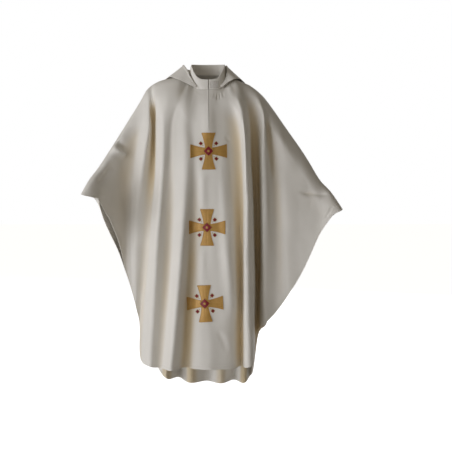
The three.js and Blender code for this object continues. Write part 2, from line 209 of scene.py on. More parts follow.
def drapePoints(folds, side, along, down):
    # along is a fractional fold number for each column, down runs from 0 at the top to 1 at the hem
    top = topEdge(np.array([fold[1] for fold in folds], float), along, side)
    reach = np.abs(top[0])
    stand = np.array(standOut, float)
    hold = cubicAt(stand[:, 0], stand[:, 1 if side < 0 else 2], reach)
    if side < 0:
        fromHollow = (top[0] - shoulderHollow["x"]) / shoulderHollow["width"]
        hold = hold - shoulderHollow["depth"] * np.exp(-fromHollow ** 2)
    height = cubicAt(stand[:, 0], stand[:, 3], reach)
    across = np.array([top[0]] + [column(folds, field, 0, along) for field in levelFields])
    outward = np.array([top[1] + side * hold] + [column(folds, field, 1, along) for field in levelFields])
    x = cubicAt([0] + foldLevels, across, down)
    hang = cubicAt([yokeLevel] + foldLevels, outward, down)
    z = lerp(top[2], column(folds, levelFields[-1], 2, along), down)
    turn = clamp01(np.maximum((top[2] - z) / height, down / shoulderTurn["within"]))
    fromMiddle = (reach - shoulderTurn["roundFrom"]) / shoulderTurn["roundOver"]
    power = lerp(1, shoulderTurn["power"], smooth(fromMiddle))
    roundness = (1 - (1 - turn) ** 2) ** power
    return np.stack([x, lerp(top[1], hang, roundness), z], axis=-1)


creaseLine = {"stepsBetween": 6, "fade": 0.3}    # fade is the share of a crease's length at each end


def creaseRelief(creases, x, z):
    # Soft ridges (out above 0) and troughs (out below 0) along smoothed [x, z] paths, faded at both ends
    relief = np.zeros_like(x)
    for path, width, out in creases:
        last = len(path) - 1
        steps = np.linspace(0, last, creaseLine["stepsBetween"] * last + 1)
        line = np.stack([cubicAt(range(last + 1), [p[axis] for p in path], steps) for axis in (0, 1)], -1)
        walked = travelled(line)
        nearest = np.full_like(x, np.inf)
        share = np.zeros_like(x)
        for (a, b), start in zip(zip(line, line[1:]), walked):
            way = b - a
            length = np.hypot(*way)
            t = clamp01(((x - a[0]) * way[0] + (z - a[1]) * way[1]) / length ** 2)
            distance = np.hypot(x - a[0] - t * way[0], z - a[1] - t * way[1])
            closer = distance < nearest
            nearest = np.where(closer, distance, nearest)
            share = np.where(closer, (start + t * length) / walked[-1], share)
        fade = smooth(share / creaseLine["fade"]) * smooth((1 - share) / creaseLine["fade"])
        relief += out * fade * np.exp(-(nearest / width) ** 2)
    return relief


slowWaves = {"count": 14, "across": (55, 190), "down": (180, 700), "lean": 0.25, "spread": 3.7}


def unevenness(x, z, amount, seed):
    # Slow waves of a hanging cloth, longer down than across
    draw = np.random.default_rng(seed)
    total = np.zeros_like(x)
    for _ in range(slowWaves["count"]):
        acrossLength = draw.uniform(*slowWaves["across"])
        downLength = draw.uniform(*slowWaves["down"])
        lean = draw.uniform(-slowWaves["lean"], slowWaves["lean"])
        phase = draw.uniform(0, 2 * math.pi)
        total += np.sin(2 * math.pi * ((x + lean * z) / acrossLength + z / downLength) + phase)
    return amount * total / slowWaves["spread"]


# Making and finishing meshes
def selectOnly(piece):
    bpy.ops.object.select_all(action="DESELECT")
    piece.select_set(True)
    bpy.context.view_layer.objects.active = piece


def applyModifiers(piece):
    selectOnly(piece)
    for modifier in list(piece.modifiers):
        bpy.ops.object.modifier_apply(modifier=modifier.name)


def shadeSoft(piece, angle=50):
    selectOnly(piece)
    bpy.ops.object.shade_smooth_by_angle(angle=math.radians(angle))


def fixNormals(piece):
    selectOnly(piece)
    bpy.ops.object.mode_set(mode="EDIT")
    bpy.ops.mesh.select_all(action="SELECT")
    bpy.ops.mesh.normals_make_consistent(inside=False)
    bpy.ops.object.mode_set(mode="OBJECT")


def setUv(mesh, uvOfVertex):
    layer = mesh.uv_layers[0] if mesh.uv_layers else mesh.uv_layers.new(name="clothMap")
    layer.name = "clothMap"
    corner = np.empty(len(mesh.loops), int)
    mesh.loops.foreach_get("vertex_index", corner)
    layer.data.foreach_set("uv", uvOfVertex[corner].astype(np.float32).ravel())


def setAttribute(mesh, name, values):
    layer = mesh.attributes.new(name, "FLOAT", "POINT")
    layer.data.foreach_set("value", values.astype(np.float32).ravel())


def cutSlit(mesh, slit, rows, columns):
    # Splits a flat grid down one column. The lips of the slit get -1 and 1, every other vertex 0.
    close = 1e-4
    middle = slit["column"] / (columns - 1) - 0.5
    lowest = 0.5 - slit["lastRow"] / (rows - 1)
    work = bmesh.new()
    work.from_mesh(mesh)
    cut = [edge for edge in work.edges
           if all(abs(v.co.x - middle) < close and v.co.y > lowest - close for v in edge.verts)]
    bmesh.ops.split_edges(work, edges=cut)
    work.verts.ensure_lookup_table()
    lip = np.array([sum(f.calc_center_median().x - v.co.x for f in v.link_faces) for v in work.verts])
    flatX = np.array([v.co.x for v in work.verts])
    flatY = np.array([v.co.y for v in work.verts])
    work.to_mesh(mesh)
    work.free()
    return np.sign(lip) * (np.abs(flatX - middle) < close) * (flatY > lowest + close)


def clothFromGrid(name, points, facts=None, uv=None, turned=False, slit=None):
    # A grid primitive whose points are moved onto the draped form. A turned one faces the other way.
    rows, columns = points.shape[:2]
    bpy.ops.object.select_all(action="DESELECT")
    bpy.ops.mesh.primitive_grid_add(x_subdivisions=columns - 1, y_subdivisions=rows - 1, size=1)
    piece = bpy.context.object
    piece.name = piece.data.name = name
    mesh = piece.data
    if slit:
        lip = cutSlit(mesh, slit, rows, columns)
    flat = np.empty(len(mesh.vertices) * 3)
    mesh.vertices.foreach_get("co", flat)
    flat = flat.reshape(-1, 3)
    col = np.rint((flat[:, 0] + 0.5) * (columns - 1)).astype(int)
    row = np.rint((0.5 - flat[:, 1]) * (rows - 1)).astype(int)
    if turned:
        col = columns - 1 - col
    placed = points[row, col].copy()
    if slit:
        opened = clamp01((slit["lastRow"] - row) / slit["closingRows"])
        placed[:, 0] += lip * slit["gap"] / 2 * opened
        placed[:, 1] -= (lip < 0) * slit["ahead"] * opened
    mesh.vertices.foreach_set("co", (placed * mm).astype(np.float32).ravel())
    if uv is not None:
        setUv(mesh, uv[row, col] * mm)
    for fact, values in (facts or {}).items():
        setAttribute(mesh, fact, values[row, col])
    mesh.update()
    return piece


def thicken(piece, thickness, thinner=None, rounded=0):
    # Walls go inwards. thinner is an attribute name: where it is 1 the wall is half as thick.
    wall = piece.modifiers.new("wall", "SOLIDIFY")
    wall.thickness = thickness * mm
    wall.offset = -1
    if thinner:
        values = np.empty(len(piece.data.vertices), np.float32)
        piece.data.attributes[thinner].data.foreach_get("value", values)
        group = piece.vertex_groups.new(name="wall")
        levels = 10
        for level in range(levels + 1):
            chosen = np.nonzero(np.rint((1 - values / 2) * levels) == level)[0]
            if len(chosen):
                group.add(chosen.tolist(), level / levels, "REPLACE")
        wall.vertex_group = group.name
    if rounded:
        edge = piece.modifiers.new("edge", "BEVEL")
        edge.width = rounded * mm
        edge.segments = 3
        edge.limit_method = "ANGLE"
        edge.angle_limit = math.radians(60)
    applyModifiers(piece)
    piece.vertex_groups.clear()


def meshPiece(name, vertices, faces, uv=None):
    mesh = bpy.data.meshes.new(name)
    mesh.from_pydata((np.asarray(vertices) * mm).tolist(), [], faces)
    piece = bpy.data.objects.new(name, mesh)
    bpy.context.scene.collection.objects.link(piece)
    if uv is not None:
        setUv(mesh, np.asarray(uv) * mm)
    return piece


# One stitch is a short thread, bowed up in its middle. A ring is its place along the thread and its girth.
stitch = {
    "sides": 6,
    "rings": [(-0.5, 0.25), (-0.34, 0.9), (0.0, 1.0), (0.34, 0.9), (0.5, 0.25)],
    "sink": 0.25,
    "bow": 0.6,
}


def stitchRow(line, normals, pitch, length, thick):
    # Thread stitches lying along a line on the cloth: the shape of one, copied to every place
    sides, rings = stitch["sides"], stitch["rings"]
    walked = travelled(line)
    places = np.arange(pitch / 2, walked[-1] - pitch / 2, pitch)
    centre = np.stack([np.interp(places, walked, line[:, axis]) for axis in range(3)], -1)
    ahead = np.stack([np.interp(places + 1, walked, line[:, axis]) for axis in range(3)], -1)
    up = unit(np.stack([np.interp(places, walked, normals[:, axis]) for axis in range(3)], -1))
    way = unit(ahead - centre)
    across = unit(np.cross(way, up))
    vertices, faces = [], []
    for share, girth in rings:
        for side in range(sides):
            angle = 2 * math.pi * side / sides
            bow = stitch["bow"] * (1 - 4 * share * share)
            lift = (math.sin(angle) * girth - stitch["sink"] + bow - stitch["bow"] / 2) * thick / 2
            vertices.append(centre + way * share * length
                            + across * math.cos(angle) * girth * thick / 2 + up * lift)
    ringCount = len(rings)
    for k in range(ringCount - 1):
        for side in range(sides):
            a, b = k * sides + side, k * sides + (side + 1) % sides
            faces.append((a, b, b + sides, a + sides))
    faces.append(tuple(range(sides))[::-1])
    faces.append(tuple((ringCount - 1) * sides + side for side in range(sides)))
    each = ringCount * sides
    joined = np.stack(vertices, axis=1).reshape(-1, 3)
    copies = [tuple(i + n * each for i in face) for n in range(len(places)) for face in faces]
    return joined, copies


def stitchPiece(name, line, normals, pitch=3.2, length=2.5, thick=0.5):
    vertices, faces = stitchRow(line, normals, pitch, length, thick)
    piece = meshPiece(name, vertices, faces)
    fixNormals(piece)
    shadeSoft(piece, 60)
    return piece


# Materials
def colour(code):
    # sRGB hex to the linear values that a shader socket takes
    parts = [int(code[i:i + 2], 16) / 255 for i in (1, 3, 5)]
    return tuple(p / 12.92 if p <= 0.04045 else ((p + 0.055) / 1.055) ** 2.4 for p in parts) + (1,)


def setSockets(node, values):
    for key, value in values.items():
        node.inputs[key].default_value = value


def addNode(material, kind, inputs=None, links=None, **settings):
    # One node with its settings, its fixed inputs and what is linked into it
    node = material.node_tree.nodes.new(kind)
    for key, value in settings.items():
        setattr(node, key, value)
    setSockets(node, inputs or {})
    for key, source in (links or {}).items():
        material.node_tree.links.new(source, node.inputs[key])
    return node


def newMaterial(name):
    material = bpy.data.materials.new(name)
    material.use_nodes = True
    return material, material.node_tree.nodes["Principled BSDF"]


def mixColours(material, share, first, second):
    # A blend of two colours, each a code or the output of another node. Sockets 6 and 7 are those of colours.
    blend = addNode(material, "ShaderNodeMix", None, {"Factor": share}, data_type="RGBA")
    for socket, source in ((6, first), (7, second)):
        if isinstance(source, str):
            blend.inputs[socket].default_value = colour(source)
        else:
            material.node_tree.links.new(source, blend.inputs[socket])
    return blend.outputs[2]


def threadWaves(material, spacing, place, way, uneven):
    # Light and dark bands a spacing in mm apart. At scale 1 a wave texture's bands are 0.1 pi apart.
    waves = addNode(material, "ShaderNodeTexWave", {"Scale": 0.1 / (spacing * mm) * math.pi, **uneven},
                    {"Vector": place}, wave_type="BANDS", bands_direction=way)
    return waves.outputs["Fac"]


def addWeighted(material, base, weight, extra):
    total = addNode(material, "ShaderNodeMath", {1: weight}, {0: extra, 2: base}, operation="MULTIPLY_ADD")
    return total.outputs[0]


def bumpFrom(material, height, strength, depth):
    bump = addNode(material, "ShaderNodeBump", {"Strength": strength, "Distance": depth * mm},
                   {"Height": height})
    return bump.outputs[0]


def finishSurface(material, surface, tone, bump, values):
    material.node_tree.links.new(tone, surface.inputs["Base Color"])
    material.node_tree.links.new(bump, surface.inputs["Normal"])
    setSockets(surface, values)


# Ivory twill, a matt wool and polyester cloth: even and soft, with a faint diagonal rib and a low sheen
ivoryTwill = {
    "ridge": "#ebe7df",
    # painted shade: the warmer, darker tone laid into the fold valleys, where the cloth lies back
    "valley": "#dcc9a4",
    "dusty": "#dcd8d0",
    "rib": 1.3,                                  # mm between ribs, coarser than the real 0.5 to show
    "thread": 0.9,                               # mm between the threads across them, likewise
    "ribTurn": 58,
    "ribDepth": 0.05,
    "bump": 0.35,
    "weftShare": 0.45,                           # how much the threads and the slubs add to the ribs
    "slubShare": 0.7,
    "ribShade": 0.955,
    "dustMost": 0.5,
    "roughness": 0.78,
    "specular": 0.35,
    "sheen": 0.18,
    "sheenRoughness": 0.45,
    "sheenTint": "#fff8ea",
}


def makeTwill(name, setup):
    material, surface = newMaterial(name)
    cloth = addNode(material, "ShaderNodeUVMap", uv_map="clothMap").outputs[0]
    turned = addNode(material, "ShaderNodeMapping", {"Rotation": (0, 0, math.radians(setup["ribTurn"]))},
                     {"Vector": cloth})
    ribs = threadWaves(material, setup["rib"], turned.outputs[0], "X", {"Distortion": 1.2, "Detail": 1})
    weft = threadWaves(material, setup["thread"], cloth, "Y", {"Distortion": 0.6, "Detail": 1})
    place = addNode(material, "ShaderNodeTexCoord").outputs["Object"]
    slub = addNode(material, "ShaderNodeTexNoise", {"Scale": 140, "Detail": 4}, {"Vector": place})
    cloud = addNode(material, "ShaderNodeTexNoise", {"Scale": 5, "Detail": 3}, {"Vector": place})
    weave = addWeighted(material, ribs, setup["weftShare"], weft)
    height = addWeighted(material, weave, setup["slubShare"], slub.outputs["Fac"])
    bump = bumpFrom(material, height, setup["bump"], setup["ribDepth"])
    # Painted shade: the valley attribute turns the ridge colour towards the warmer, darker valley colour in
    # the fold valleys
    valley = addNode(material, "ShaderNodeAttribute", attribute_name="valley").outputs["Fac"]
    tone = mixColours(material, valley, setup["ridge"], setup["valley"])
    dustShare = addNode(material, "ShaderNodeMapRange",
                        {"From Min": 0.35, "From Max": 0.75, "To Max": setup["dustMost"]},
                        {"Value": cloud.outputs["Fac"]})
    dusty = mixColours(material, dustShare.outputs[0], tone, setup["dusty"])
    ribTone = addNode(material, "ShaderNodeMapRange", {"To Min": setup["ribShade"], "To Max": 1.0},
                      {"Value": weave})
    shaded = addNode(material, "ShaderNodeVectorMath", None, {0: dusty, "Scale": ribTone.outputs[0]},
                     operation="SCALE")
    finishSurface(material, surface, shaded.outputs[0], bump, {
        "Roughness": setup["roughness"],
        "IOR": 1.45,
        "Specular IOR Level": setup["specular"],
        "Sheen Weight": setup["sheen"],
        "Sheen Roughness": setup["sheenRoughness"],
        "Sheen Tint": colour(setup["sheenTint"]),
    })
    return material


# Rayon embroidery thread: smooth satin stitches that catch the light along each thread. That light and the
# dark between threads are painted into the colour: painted sheen and painted shade, with random patches of
# tone.
def makeThread(name, base, dark, roughness, metallic, threadSpacing):
    material, surface = newMaterial(name)
    along = addNode(material, "ShaderNodeUVMap", uv_map="clothMap").outputs[0]
    threads = threadWaves(material, threadSpacing, along, "Y",
                          {"Distortion": 0.5, "Detail": 2, "Detail Scale": 2})
    place = addNode(material, "ShaderNodeTexCoord").outputs["Object"]
    patchy = addNode(material, "ShaderNodeTexNoise", {"Scale": 90, "Detail": 3}, {"Vector": place})
    share = addWeighted(material, threads, weight=0.6, extra=patchy.outputs["Fac"])
    lightness = addNode(material, "ShaderNodeMapRange", {"From Min": 0.2, "From Max": 1.3}, {"Value": share})
    # painted sheen on the threads and painted shade between them, mixed with random patches of tone
    tone = mixColours(material, lightness.outputs[0], dark, base)
    bump = bumpFrom(material, threads, strength=0.6, depth=0.12)
    finishSurface(material, surface, tone, bump,
                  {"Roughness": roughness, "Metallic": metallic, "Sheen Weight": 0.1})
    return material


# Brushed nylon loop tape: a fuzzy pile that looks duller than the twill round it. Its colour is darker where
# the pile lies low: painted shade in the pile's hollows.
def makeLoopTape(name, base, dark):
    material, surface = newMaterial(name)
    place = addNode(material, "ShaderNodeTexCoord").outputs["Object"]
    pile = addNode(material, "ShaderNodeTexNoise", {"Scale": 240, "Detail": 5, "Roughness": 0.7},
                   {"Vector": place})
    loops = addNode(material, "ShaderNodeTexVoronoi", {"Scale": 520}, {"Vector": place})
    height = addWeighted(material, pile.outputs["Fac"], weight=0.8, extra=loops.outputs["Distance"])
    bump = bumpFrom(material, height, strength=0.9, depth=0.6)
    # painted shade: the colour darkens with the same pile noise that lowers the bump
    tone = mixColours(material, pile.outputs["Fac"], dark, base)
    finishSurface(material, surface, tone, bump, {"Roughness": 0.9, "Sheen Weight": 0.35})
    return material


twill = makeTwill("ivory_twill_woven", ivoryTwill)
goldThread = makeThread("gold_rayon_thread_satin", "#d9ad60", "#a37530", 0.42, 0.2, 0.9)
crimsonThread = makeThread("crimson_rayon_thread_satin", "#9c1126", "#5a0813", 0.45, 0.0, 0.9)
sewingThread = makeThread("ivory_sewing_thread", "#ebe6dc", "#cfc6b4", 0.6, 0.0, 0.4)
loopTape = makeLoopTape("nylon_loop_tape_brushed", "#f1eee7", "#a9a39a")
print("materials made")


def finish(piece, material, replaces=()):
    piece.data.materials.clear()
    piece.data.materials.append(material)
    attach(piece, "root")
    if replaces:
        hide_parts(*replaces)
    return piece


# Front and back panels
panelCloth = {
    "thickness": 1.6,                            # at the folded hem, half of it elsewhere
    "hemRows": [22, 17, 14, 12.6, 11.4, 9, 4.5, 0],
    "hemDepth": 12,
    "hemGroove": 0.5,
    "grooveWidth": 1.6,
    "unevenness": 0.6,
    "creaseFrom": 4,                             # below the top edge, where creases begin to show
    "creaseOver": 40,
    # The painted shade in the fold valleys: columns compared, depth for full shade, and where it fades in
    # below the top
    "paintedShadeReach": 16,                           # columns on each side with which a point is compared
    "paintedShadeDepth": 34,
    "paintedShadeFrom": 70,
    "paintedShadeOver": 70,
}
sampling = {"across": 500, "levels": (0.1, 0.3, 0.8), "down": 161, "downPower": 1.4, "rowPower": 1.12}
# name, top x, then [x, y] at the chest, upper and middle levels and [x, y, z] at the hem
frontFolds = [
    ("sleeve edge", -501, [-492, -288], [-482, -286], [-456, -292], [-429, -290, -477]),
    ("forearm", -470, [-460, -240], [-450, -240], [-430, -246], [-408, -244, -522]),
    ("elbow", -430, [-424, -184], [-417, -184], [-402, -188], [-383, -188, -592]),
    ("upper arm", -385, [-381, -129], [-377, -128], [-370, -134], [-361, -142, -672]),
    ("wing bowl", -340, [-346, -96], [-350, -90], [-346, -108], [-342, -122, -768]),
    ("wing bowl inner", -305, [-296, -76], [-306, -78], [-322, -108], [-319, -120, -850]),
    ("shoulder drop", -272, [-244, -92], [-259, -112], [-292, -122], [-298, -122, -930]),
    ("shoulder valley", -240, [-229, -64], [-231, -72], [-250, -115], [-284, -116, -1005]),
    ("left ridge flank", -220, [-208, -106], [-210, -118], [-231, -148], [-281, -136, -1138]),
    ("left ridge", -200, [-184, -134], [-184, -152], [-206, -178], [-238, -192, -1163]),
    ("left valley", -75, [-132, -134], [-148, -144], [-160, -153], [-194, -178, -1171]),
    ("breast ridge left", -66, [-94, -146], [-90, -169], [-108, -200], [-148, -238, -1171]),
    ("breast valley left", -45, [-64, -142], [-54, -158], [-71, -153], [-98, -168, -1171]),
    ("field left", -22, [-32, -142], [-28, -161], [-35, -168], [-58, -198, -1171]),
    ("centre front", 0, [1, -143], [2, -162], [0, -174], [-4, -212, -1172]),
    ("field right", 20, [30, -133], [34, -159], [38, -174], [38, -202, -1173]),
    ("breast ridge right", 38, [64, -120], [68, -153], [88, -170], [96, -180, -1175]),
    ("right valley", 56, [109, -101], [126, -118], [132, -116], [134, -130, -1171]),
    ("right ridge", 75, [131, -126], [150, -165], [151, -188], [153, -201, -1166]),
    ("right ridge flank", 100, [151, -106], [168, -140], [176, -168], [184, -184, -1150]),
    ("deep valley", 135, [168, -66], [185, -64], [199, -63], [193, -46, -1070]),
    ("deep valley wall", 165, [196, -66], [203, -64], [209, -62], [208, -58, -1030]),
    ("wing root ridge", 190, [224, -94], [222, -118], [225, -131], [229, -119, -1002]),
    ("wing root trough", 240, [246, -72], [262, -78], [278, -98], [280, -110, -950]),
    ("wing inner", 318, [314, -86], [318, -92], [324, -112], [330, -122, -876]),
    ("wing middle", 375, [372, -80], [372, -94], [374, -112], [379, -120, -795]),
    ("wing outer", 430, [427, -86], [424, -98], [421, -112], [418, -122, -712]),
    ("wing forearm", 480, [476, -98], [472, -102], [464, -112], [453, -122, -632]),
    ("wing wrist", 520, [516, -110], [512, -112], [501, -120], [482, -126, -585]),
    ("sleeve edge right", 552, [548, -118], [543, -120], [528, -126], [510, -128, -548]),
]
# Creases of the front: path of [x, z] points, width, height (below 0 for a trough)
frontCreases = [
    ([(-398, -275), (-368, -291), (-332, -316)], 15, 14),
    ([(-374, -244), (-338, -284)], 12, -7),
    ([(-374, -334), (-404, -376), (-442, -430)], 15, -10),
    ([(505, -470), (366, -462)], 12, -6),
    ([(-484, -465), (-440, -400), (-399, -330), (-341, -318)], 14, 3),
    ([(-300, -200), (-290, -300), (-312, -420), (-330, -520)], 26, 4),
    ([(-240, 90), (-231, -40), (-226, -160), (-227, -380), (-234, -560)], 7, -4),
    ([(-258, 70), (-241, -40), (-233, -90), (-229, -150), (-228, -200)], 8, -9),
    ([(-200, -86), (-184, -159), (-184, -349), (-192, -489), (-206, -690)], 10, 3),
    ([(-95, -61), (-132, -123), (-150, -200), (-155, -330), (-158, -450)], 8, -3),
    ([(-94, -156), (-92, -349), (-98, -489), (-112, -687), (-130, -886), (-150, -1145)], 16, 2),
    ([(-56, -248), (-58, -490), (-71, -694), (-84, -898), (-98, -1090)], 15, -2),
    ([(-19, -366), (-21, -440), (-19, -545)], 14, 4.2),
    ([(-21, -664), (-23, -750), (-28, -850)], 14, 4.5),
    ([(55, -369), (66, -560), (72, -690)], 12, 1.2),
    ([(66, -600), (80, -760), (94, -900), (98, -1010)], 18, 10),
    ([(37, -1013), (58, -1055), (77, -1109)], 7, -4),
    ([(62, -1000), (84, -1060), (96, -1120)], 14, 3),
    ([(67, -232), (88, -256)], 5, -4),
    ([(71, -236), (88, -349), (104, -560)], 9, -3),
    ([(77, -78), (98, -99), (118, -130), (132, -160), (143, -200), (148, -309), (151, -500)], 6.5, 5),
    ([(152, -560), (154, -800), (156, -1094)], 8, 4),
    ([(161, -146), (187, -349), (200, -702), (207, -930)], 9, -8),
    ([(206, -67), (224, -130), (232, -207), (236, -491), (244, -700)], 8, 4),
    ([(236, -100), (243, -170), (250, -260), (260, -330), (268, -430)], 9, -10),
    ([(499, -468), (430, -466), (362, -460)], 7, -3),
    ([(508, -512), (490, -545), (475, -573)], 4, -3),
    ([(27, -50), (26, -64), (25, -78)], 3.0, -3),
    ([(35, -50), (36, -68), (35, -88)], 3.0, -5),
    ([(44, -50), (46, -66), (47, -84)], 3.2, -3.6),
    ([(56, -48), (59, -62), (61, -76)], 3.4, -2.4),
    ([(-49, -48), (-30, -58), (-12, -60)], 3, -1.2),
    ([(-60, -44), (-44, -60), (-22, -68)], 3.5, 1.2),
    ([(-3, -44), (-3, -90), (-2, -150), (0, -260)], 30, 6),
    ([(300, -420), (330, -560), (338, -700)], 30, 4),
    ([(392, -380), (415, -470), (418, -560)], 26, -4),
    ([(-420, -470), (-400, -520), (-380, -560)], 14, -4),
    ([(-262, -640), (-268, -780), (-276, -900)], 16, -4),
    ([(-30, -930), (-34, -1040), (-30, -1140)], 20, 3),
    ([(12, -760), (14, -900), (20, -1060)], 18, -2.5),
]
backFolds = [
    ("sleeve edge", -501, [-496, -200], [-490, -200], [-468, -196], [-440, -200, -484]),
    ("forearm", -470, [-464, -146], [-458, -150], [-444, -160], [-424, -180, -556]),
    ("elbow", -430, [-427, -80], [-424, -82], [-414, -108], [-399, -138, -630]),
    ("upper arm", -385, [-384, -22], [-382, -22], [-378, -50], [-371, -84, -708]),
    ("wing bowl", -340, [-341, 16], [-342, 22], [-345, 2], [-346, -28, -802]),
    ("wing bowl inner", -305, [-304, 42], [-304, 48], [-318, 42], [-322, 24, -892]),
    ("wing root ridge", -272, [-266, 68], [-262, 78], [-286, 88], [-294, 76, -985]),
    ("side valley", -240, [-235, 40], [-230, 22], [-250, 16], [-258, 12, -1090]),
    ("left ridge flank", -220, [-216, 78], [-216, 72], [-236, 84], [-246, 90, -1175]),
    ("left ridge", -200, [-188, 112], [-196, 122], [-216, 144], [-228, 152, -1235]),
    ("left valley", -75, [-142, 104], [-156, 88], [-176, 84], [-184, 78, -1272]),
    ("blade ridge left", -66, [-98, 128], [-112, 140], [-128, 168], [-138, 186, -1288]),
    ("blade valley left", -40, [-50, 130], [-58, 118], [-76, 118], [-84, 110, -1297]),
    ("centre back", 0, [-2, 136], [-4, 138], [-8, 158], [-14, 176, -1302]),
    ("blade valley right", 40, [46, 130], [50, 116], [52, 120], [50, 112, -1300]),
    ("blade ridge right", 66, [94, 128], [106, 138], [110, 162], [106, 172, -1296]),
    ("right valley", 75, [130, 106], [148, 86], [154, 72], [148, 66, -1288]),
    ("right ridge", 100, [160, 112], [180, 118], [184, 126], [174, 128, -1272]),
    ("right ridge flank", 135, [186, 84], [204, 74], [205, 70], [190, 72, -1228]),
    ("side valley right", 165, [204, 50], [222, 22], [225, 12], [210, 18, -1064]),
    ("side valley wall", 190, [222, 58], [236, 40], [242, 40], [240, 38, -1032]),
    ("wing root right", 240, [246, 60], [262, 64], [266, 72], [260, 62, -984]),
    ("wing inner", 318, [317, 46], [316, 42], [316, 46], [314, 46, -900]),
    ("wing middle", 375, [374, 36], [372, 34], [368, 34], [364, 36, -812]),
    ("wing outer", 430, [428, 22], [426, 20], [420, 20], [409, 22, -724]),
    ("wing forearm", 480, [477, 4], [474, 2], [466, 2], [447, 4, -640]),
    ("wing wrist", 520, [517, -14], [514, -16], [502, -14], [478, -14, -592]),
    ("sleeve edge right", 552, [549, -25], [544, -26], [530, -26], [510, -28, -554]),
]
backCreases = [
    ([(-236, -150), (-232, -380), (-244, -620), (-254, -900)], 9, -6),
    ([(-196, -180), (-205, -480), (-222, -900), (-228, -1200)], 11, 4),
    ([(-110, -300), (-122, -640), (-136, -1240)], 13, 4),
    ([(-58, -330), (-70, -700), (-82, -1260)], 12, -4),
    ([(-6, -330), (-10, -800), (-14, -1260)], 14, 3),
    ([(50, -340), (52, -760), (50, -1240)], 12, -4),
    ([(104, -260), (110, -700), (107, -1250)], 11, 4),
    ([(150, -190), (154, -560), (150, -1200)], 9, -5),
    ([(182, -200), (186, -620), (180, -1190)], 10, 4),
    ([(224, -210), (229, -520), (220, -980)], 9, -6),
    ([(300, -300), (330, -480), (338, -700)], 24, 4),
    ([(400, -420), (420, -520), (414, -620)], 20, -4),
    ([(-300, -330), (-322, -520), (-330, -720)], 24, 4),
    ([(-410, -360), (-344, -390), (-300, -372)], 14, 8),
    ([(-398, -330), (-340, -350)], 14, -6),
    ([(26, -820), (60, -900), (78, -1010)], 14, -3),
    ([(-150, -520), (-120, -600), (-112, -720)], 16, -3),
]


def hemGroove(setup, fromEdge):
    # The shallow groove that the stitching of a hem pulls into the cloth
    return setup["hemGroove"] * np.exp(-((fromEdge - setup["hemDepth"]) / setup["grooveWidth"]) ** 2)


def panelGrid(folds, side, spans, rowCount, creases, seed):
    # spans gives how many columns lie between the fold numbers named in it
    along = []
    for start, end, count in spans:
        fine = np.linspace(start, end, sampling["across"])
        levels = [drapePoints(folds, side, fine, np.full((1, len(fine)), level))[0]
                  for level in sampling["levels"]]
        walked = sum(travelled(line) for line in levels)
        stretch = np.interp(np.linspace(0, walked[-1], count + 1), walked, fine)
        along.append(stretch if not along else stretch[1:])
    along = np.concatenate(along)
    fineDown = np.linspace(0, 1, sampling["down"])[:, None] ** sampling["downPower"]
    fineDown = np.repeat(fineDown, len(along), axis=1)
    lengths = travelled(drapePoints(folds, side, along, fineDown))
    hemRows = np.array(panelCloth["hemRows"], float)
    upper = np.linspace(0, 1, rowCount - len(hemRows) + 1)[:-1] ** sampling["rowPower"]
    down = np.empty((rowCount, len(along)))
    for c in range(len(along)):
        total = lengths[-1, c]
        goal = np.concatenate([upper * (total - hemRows[0]), total - hemRows])
        down[:, c] = np.interp(goal, lengths[:, c], fineDown[:, c])
    points = drapePoints(folds, side, along, down)
    outward = gridNormals(points) * -side
    relief = creaseRelief(creases, points[..., 0], points[..., 2])
    relief = relief + unevenness(points[..., 0], points[..., 2], panelCloth["unevenness"], seed)
    relief = relief * smooth((travelled(points) - panelCloth["creaseFrom"]) / panelCloth["creaseOver"])
    edgeWay = travelled(points, axis=1)
    fromEdge = np.minimum(fromLastRow(points), np.minimum(edgeWay, edgeWay[:, -1:] - edgeWay))
    points = points + outward * (relief - hemGroove(panelCloth, fromEdge))[..., None]
    return points, fromEdge


def paintedShadeShare(points, side):
    # Painted shade mask: how far each point lies behind the cloth on both sides of it, from 0 to 1
    reach = panelCloth["paintedShadeReach"]
    y = points[..., 1] * side
    padded = np.pad(y, ((0, 0), (reach, reach)), mode="edge")
    total = np.cumsum(np.pad(padded, ((0, 0), (1, 0))), axis=1)
    mean = (total[:, 2 * reach + 1:] - total[:, :-2 * reach - 1]) / (2 * reach + 1)
    return smooth((mean - y) / panelCloth["paintedShadeDepth"])


def makePanel(name, folds, side, spans, rowCount, creases, seed, slit=None):
    points, fromEdge = panelGrid(folds, side, spans, rowCount, creases, seed)
    across = travelled(points, axis=1)
    centre = np.argmin(np.abs(points[0, :, 0]))
    uv = np.stack([across - across[:, centre:centre + 1], -travelled(points)], axis=-1)
    # The painted valley shade fades in below the top edge
    below = smooth((travelled(points) - panelCloth["paintedShadeFrom"]) / panelCloth["paintedShadeOver"])
    facts = {
        "valley": paintedShadeShare(points, side) * below,
        "single": smooth((fromEdge - panelCloth["hemDepth"]) / 2),
    }
    if slit:
        slit = dict(slit, column=centre)
        slit["lastRow"] = int(np.argmax(points[:, centre, 2] < neckSeam["throatZ"] - slit["length"]))
    piece = clothFromGrid(name, points, facts, uv, turned=side > 0, slit=slit)
    thicken(piece, panelCloth["thickness"], thinner="single")
    shadeSoft(piece)
    return piece, points


throatSlit = {"length": 170, "gap": 1.6, "ahead": 1.2, "closingRows": 6}
frontCloth, frontPoints = makePanel(
    "front_cloth", frontFolds, -1, [(0, 14, 124), (14, 29, 134)], 188, frontCreases, 11, throatSlit)
finish(frontCloth, twill, ["front_panel"])
print("front panel made:", len(frontCloth.data.polygons), "faces")
backCloth, backPoints = makePanel(
    "back_cloth", backFolds, 1, [(0, 13, 118), (13, 27, 118)], 170, backCreases, 23)
finish(backCloth, twill, ["back_panel"])
print("back panel made:", len(backCloth.data.polygons), "faces")


